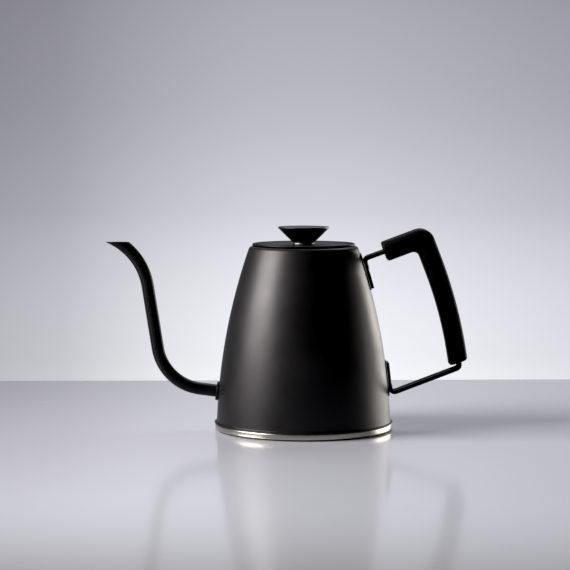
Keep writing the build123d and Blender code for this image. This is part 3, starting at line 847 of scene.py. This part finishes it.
def end_plane(first, second):
    """A test for the edges that lie in the end face through two corners of the grip."""
    across = Vector((second[0] - first[0], 0, second[1] - first[1])).normalized()
    out = Vector((across.z, 0, -across.x))
    level = Vector((first[0], 0, first[1])).dot(out) * MM
    return lambda edge: all(abs(vertex.co.dot(out) - level) < 0.01 * MM for vertex in edge.verts)


def on_side(edge, y):
    """Whether an edge lies in the plane at a distance y from the middle, in mm."""
    return all(abs(vertex.co.y - y * MM) < 0.01 * MM for vertex in edge.verts)


upper_end = end_plane(GRIP_CORNERS[0], GRIP_CORNERS[-1])
lower_end = end_plane(GRIP_CORNERS[3], GRIP_CORNERS[4])
grip_outline = rounded(GRIP_CORNERS, GRIP_BENDS)
right_grip = draw("grip_right", grip_outline + grip_outline[:1])
bpy.ops.mesh.select_all(action="SELECT")
bpy.ops.mesh.remove_doubles(threshold=0.002 * MM)
bpy.ops.mesh.edge_face_add()
bpy.ops.mesh.extrude_region_move(TRANSFORM_OT_translate={"value": (0, GRIP_HALF_WIDTH * MM, 0)})
bpy.ops.mesh.select_all(action="SELECT")
bpy.ops.mesh.normals_make_consistent(inside=False)
choose(right_grip, "EDGE", lambda edge: on_side(edge, GRIP_HALF_WIDTH)
       and not upper_end(edge) and not lower_end(edge))
bpy.ops.mesh.bevel(offset=GRIP_ROUND * MM, segments=10, affect="EDGES", clamp_overlap=False)
choose(right_grip, "EDGE", lambda edge: (upper_end(edge) or lower_end(edge))
       and not on_side(edge, 0))
bpy.ops.mesh.bevel(offset=GRIP_END_ROUND * MM, segments=6, affect="EDGES", clamp_overlap=False)
choose(right_grip, "EDGE", lambda edge: on_side(edge, 0))
bpy.ops.mesh.bevel(offset=PARTING * MM, segments=1, affect="EDGES", clamp_overlap=False)
settle(right_grip, 35)

bpy.ops.object.select_all(action="DESELECT")
right_grip.select_set(True)
bpy.context.view_layer.objects.active = right_grip
bpy.ops.object.duplicate(linked=False)
left_grip = bpy.context.object
left_grip.name = "grip_left"
bpy.ops.object.mode_set(mode="EDIT")
bpy.ops.mesh.select_all(action="SELECT")
bpy.ops.transform.resize(value=(1, -1, 1), center_override=(0, 0, 0))
settle(left_grip, 35)
fit(left_grip, "kettle_body", "grip_resin", "grip_half_left")

for x, z in SCREW_SPOTS:
    bore(right_grip, SCREW_HEAD, (x, SCREW_SEAT, z), (x, GRIP_HALF_WIDTH + 2, z), sides=32)
settle(right_grip, 35)
fit(right_grip, "kettle_body", "grip_resin", "grip_half_right")

# %% [markdown]
# ## The room
# The table top is a pale, slightly glossy sheet that ends a third of a metre behind the
# kettle. Far behind it hangs a backdrop that glows, most of all near the table. Each sheet is
# coloured by two ramps, one along each of its axes. Both get dark far from the kettle, so that
# the black parts have something dark to reflect. On the table this is painted shade, and its
# colour is also darker towards the left and a touch lighter on the right.

# %% Lay the table and hang the backdrop
TABLE_EDGE_Y, TABLE_FRONT_Y, TABLE_WIDTH = 0.336, -3.2, 6.0
TABLE_ROUGHNESS, TABLE_TURN = 0.13, 8.0
BACKDROP_Y, BACKDROP_MIDDLE_Z, BACKDROP_WIDTH, BACKDROP_HEIGHT = 2.4, 1.2, 7.0, 5.0
# The table's ramps are painted shade: darker towards the front, the left and the far edge, a touch
# lighter on the right.
TABLE_SHADE_TONES = {
    "Y": (-1.2, TABLE_EDGE_Y, [
        (0.0, (0.02, 0.02, 0.02)), (0.13, (0.02, 0.02, 0.02)), (0.37, (0.20, 0.21, 0.22)),
        (0.49, (0.48, 0.515, 0.55)), (0.6, (0.49, 0.52, 0.56)), (1.0, (0.41, 0.43, 0.465))]),
    "X": (-0.45, 0.30, [
        (0.0, (0.38, 0.38, 0.38)), (0.17, (0.50, 0.50, 0.50)), (0.36, (0.78, 0.78, 0.78)),
        (0.50, (0.98, 0.98, 0.98)), (0.7, (1.0, 1.0, 1.0)), (1.0, (1.05, 1.05, 1.05))]),
}
BACKDROP_TONES = {
    "Z": (-0.24, 1.06, [
        (0.0, (0.93, 0.94, 0.965)), (0.025, (0.87, 0.88, 0.92)), (0.112, (0.83, 0.84, 0.89)),
        (0.187, (0.72, 0.73, 0.78)), (0.249, (0.62, 0.625, 0.68)), (0.415, (0.42, 0.42, 0.475)),
        (0.6, (0.38, 0.38, 0.43)), (0.78, (0.10, 0.10, 0.11)), (1.0, (0.04, 0.04, 0.045))]),
    "X": (-1.6, 0.65, [
        (0.0, (0.2, 0.2, 0.21)), (0.356, (0.32, 0.32, 0.33)), (0.533, (0.60, 0.60, 0.62)),
        (0.608, (0.80, 0.80, 0.80)), (0.701, (1.0, 1.0, 1.0)), (0.823, (1.0, 1.0, 1.0)),
        (1.0, (0.72, 0.72, 0.74))]),
}


def colour_by_place(tree, socket, tones, turned_by=0.0):
    """Colours a sheet by two ramps multiplied together. The ramps' axes can be turned a little."""
    place = put(tree, "ShaderNodeTexCoord")
    turned = put(tree, "ShaderNodeVectorRotate", rotation_type="Z_AXIS", Angle=radians(turned_by))
    apart = put(tree, "ShaderNodeSeparateXYZ")
    join(tree, place, "Object", turned, "Vector")
    join(tree, turned, "Vector", apart, "Vector")
    both = put(tree, "ShaderNodeVectorMath", operation="MULTIPLY")
    for i, (axis, (low, high, stops)) in enumerate(tones.items()):
        span = put(tree, "ShaderNodeMapRange", From_Min=low, From_Max=high)
        join(tree, apart, axis, span, "Value")
        tone = put(tree, "ShaderNodeValToRGB")
        tone.color_ramp.interpolation = "B_SPLINE"
        for stop in stops[1:-1]:
            tone.color_ramp.elements.new(stop[0])
        for element, (position, colour) in zip(tone.color_ramp.elements, stops):
            element.position = position
            element.color = (*colour, 1)
        join(tree, span, "Result", tone, "Fac")
        join(tree, tone, "Color", both, i)
    join(tree, both, "Vector", tree.nodes["Principled BSDF"], socket)


def sheet(name, middle, size, rotation=(0, 0, 0)):
    """A large flat sheet with a material of its own."""
    bpy.ops.object.select_all(action="DESELECT")
    bpy.ops.mesh.primitive_plane_add(size=1.0, location=middle, rotation=rotation)
    piece = bpy.context.object
    piece.name = name
    piece.scale = (*size, 1)
    bpy.ops.object.transform_apply(location=True, rotation=True, scale=True)
    material = bpy.data.materials.new(name)
    material.use_nodes = True
    piece.data.materials.append(material)
    return piece, material.node_tree, material.node_tree.nodes["Principled BSDF"]


table, tree, shader = sheet("table", (0, (TABLE_EDGE_Y + TABLE_FRONT_Y) / 2, 0),
                            (TABLE_WIDTH, TABLE_EDGE_Y - TABLE_FRONT_Y))
# The table's colour carries painted shade, darker away from the kettle.
colour_by_place(tree, "Base Color", TABLE_SHADE_TONES, TABLE_TURN)
shader.inputs["Roughness"].default_value = TABLE_ROUGHNESS

backdrop, tree, shader = sheet("backdrop", (0, BACKDROP_Y, BACKDROP_MIDDLE_Z),
                               (BACKDROP_WIDTH, BACKDROP_HEIGHT), rotation=(radians(90), 0, 0))
colour_by_place(tree, "Emission Color", BACKDROP_TONES)
shader.inputs["Base Color"].default_value = (0.1, 0.1, 0.11, 1)
shader.inputs["Roughness"].default_value = 1.0
shader.inputs["Emission Strength"].default_value = 1.0
print("table ends at", TABLE_EDGE_Y, "m, backdrop hangs at", BACKDROP_Y, "m")

# %% [markdown]
# ## Studio light
# A black object is lit by what it reflects. A tall soft box on the left draws the soft stripe
# down the body, and a warmer one on the right and a little behind draws the bright edge. A wide
# light above and behind the kettle skims the table and the top of the lid.


# %% Place the lights
def soft_box(name, place, aim, width, height, power, colour):
    """A rectangular light that is turned towards a point and that the camera doesn't see."""
    bpy.ops.object.light_add(type="AREA", location=place)
    light = bpy.context.object
    light.name = name
    light.rotation_euler = (Vector(aim) - Vector(place)).to_track_quat("-Z", "Y").to_euler()
    light.data.shape = "RECTANGLE"
    light.data.size = width
    light.data.size_y = height
    light.data.energy = power
    light.data.color = colour
    light.visible_camera = False


KETTLE_MIDDLE, TABLE_FRONT = (0.0, 0.0, 0.09), (0.1, -0.2, 0.0)
ROOM_COLOUR, ROOM_STRENGTH = (0.5, 0.5, 0.53, 1), 0.05
soft_box("left box", place=(-1.27, -0.34, 0.74), aim=KETTLE_MIDDLE,
         width=0.88, height=0.85, power=63.0, colour=(1.0, 0.92, 0.925))
soft_box("right box", place=(1.09, 0.76, 0.10), aim=KETTLE_MIDDLE,
         width=1.04, height=0.58, power=14.6, colour=(1.0, 0.93, 0.87))
soft_box("top box", place=(0.2, 1.2, 1.7), aim=TABLE_FRONT,
         width=1.6, height=1.0, power=22.0, colour=(0.96, 0.98, 1.0))

world = bpy.data.worlds.new("room")
bpy.context.scene.world = world
world.use_nodes = True
background = world.node_tree.nodes["Background"]
background.inputs["Color"].default_value = ROOM_COLOUR
background.inputs["Strength"].default_value = ROOM_STRENGTH
